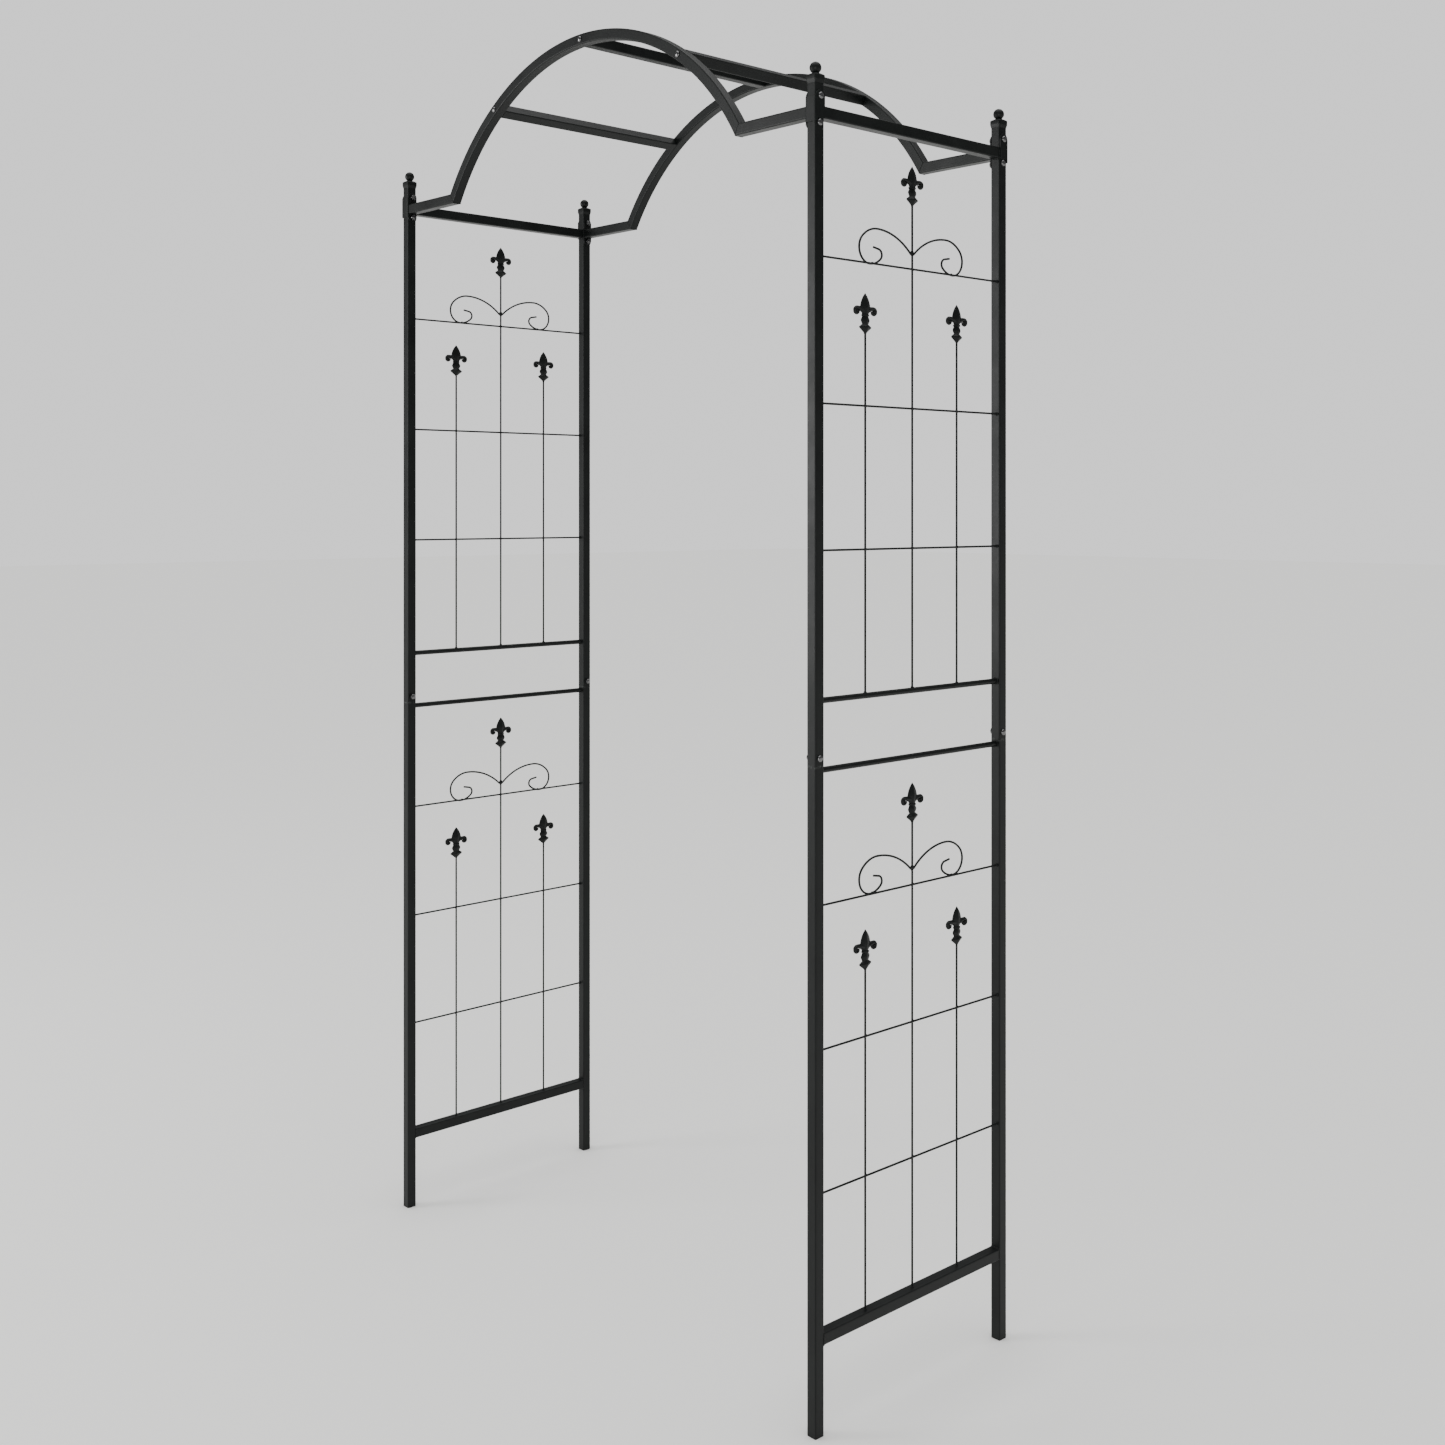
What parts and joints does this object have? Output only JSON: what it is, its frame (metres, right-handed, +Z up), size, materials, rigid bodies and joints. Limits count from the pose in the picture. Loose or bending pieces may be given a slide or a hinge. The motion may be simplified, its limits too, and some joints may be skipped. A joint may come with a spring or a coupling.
{
  "type": "garden trellis arch",
  "caption": "Free-standing metal garden arch with square-tube posts, a bowed top with crossbars, and open trellis sides with scrolls and fleur-de-lis finials, for climbing plants.",
  "frame": {"origin": "on the ground, in the middle of the arch's footprint", "axes": "+Z up; X across the walkway, with +X towards the right-hand side as seen from the front; +Y through the walkway, from front to rear"},
  "size_m": [1.1916, 0.4796, 2.287],
  "materials": {
    "black_powder_coat": "satin",
    "blackened_fastener": "semi-gloss",
    "black_plastic_plug": "matte"
  },
  "bodies": {
    "root": {"arch_bow_front": "black_powder_coat", "arch_bow_rear": "black_powder_coat", "arch_shoulder_front_left": "black_powder_coat", "arch_shoulder_front_right": "black_powder_coat", "arch_shoulder_rear_left": "black_powder_coat", "arch_shoulder_rear_right": "black_powder_coat", "bottom_rail_left": "black_powder_coat", "bottom_rail_right": "black_powder_coat", "corner_bolts": "blackened_fastener", "corner_bracket_front_left": "black_powder_coat", "corner_bracket_front_right": "black_powder_coat", "corner_bracket_rear_left": "black_powder_coat", "corner_bracket_rear_right": "black_powder_coat", "corner_nuts": "blackened_fastener", "crossbar_centre": "black_powder_coat", "crossbar_left": "black_powder_coat", "crossbar_plugs": "black_plastic_plug", "crossbar_right": "black_powder_coat", "crossbar_screws": "blackened_fastener", "lower_fleurs_left": "black_powder_coat", "lower_fleurs_right": "black_powder_coat", "lower_rods_left": "black_powder_coat", "lower_rods_right": "black_powder_coat", "lower_round_rail_left": "black_powder_coat", "lower_round_rail_right": "black_powder_coat", "lower_scrolls_left": "black_powder_coat", "lower_scrolls_right": "black_powder_coat", "lower_wires_left": "black_powder_coat", "lower_wires_right": "black_powder_coat", "post_cap_front_left": "black_powder_coat", "post_cap_front_right": "black_powder_coat", "post_cap_rear_left": "black_powder_coat", "post_cap_rear_right": "black_powder_coat", "post_insert_front_left": "black_powder_coat", "post_insert_front_right": "black_powder_coat", "post_insert_rear_left": "black_powder_coat", "post_insert_rear_right": "black_powder_coat", "post_lower_front_left": "black_powder_coat", "post_lower_front_right": "black_powder_coat", "post_lower_rear_left": "black_powder_coat", "post_lower_rear_right": "black_powder_coat", "post_upper_front_left": "black_powder_coat", "post_upper_front_right": "black_powder_coat", "post_upper_rear_left": "black_powder_coat", "post_upper_rear_right": "black_powder_coat", "seam_bolts": "blackened_fastener", "seam_nuts": "blackened_fastener", "side_top_rail_left": "black_powder_coat", "side_top_rail_right": "black_powder_coat", "upper_fleurs_left": "black_powder_coat", "upper_fleurs_right": "black_powder_coat", "upper_rods_left": "black_powder_coat", "upper_rods_right": "black_powder_coat", "upper_round_rail_left": "black_powder_coat", "upper_round_rail_right": "black_powder_coat", "upper_scrolls_left": "black_powder_coat", "upper_scrolls_right": "black_powder_coat", "upper_wires_left": "black_powder_coat", "upper_wires_right": "black_powder_coat"}
  },
  "joints": []
}
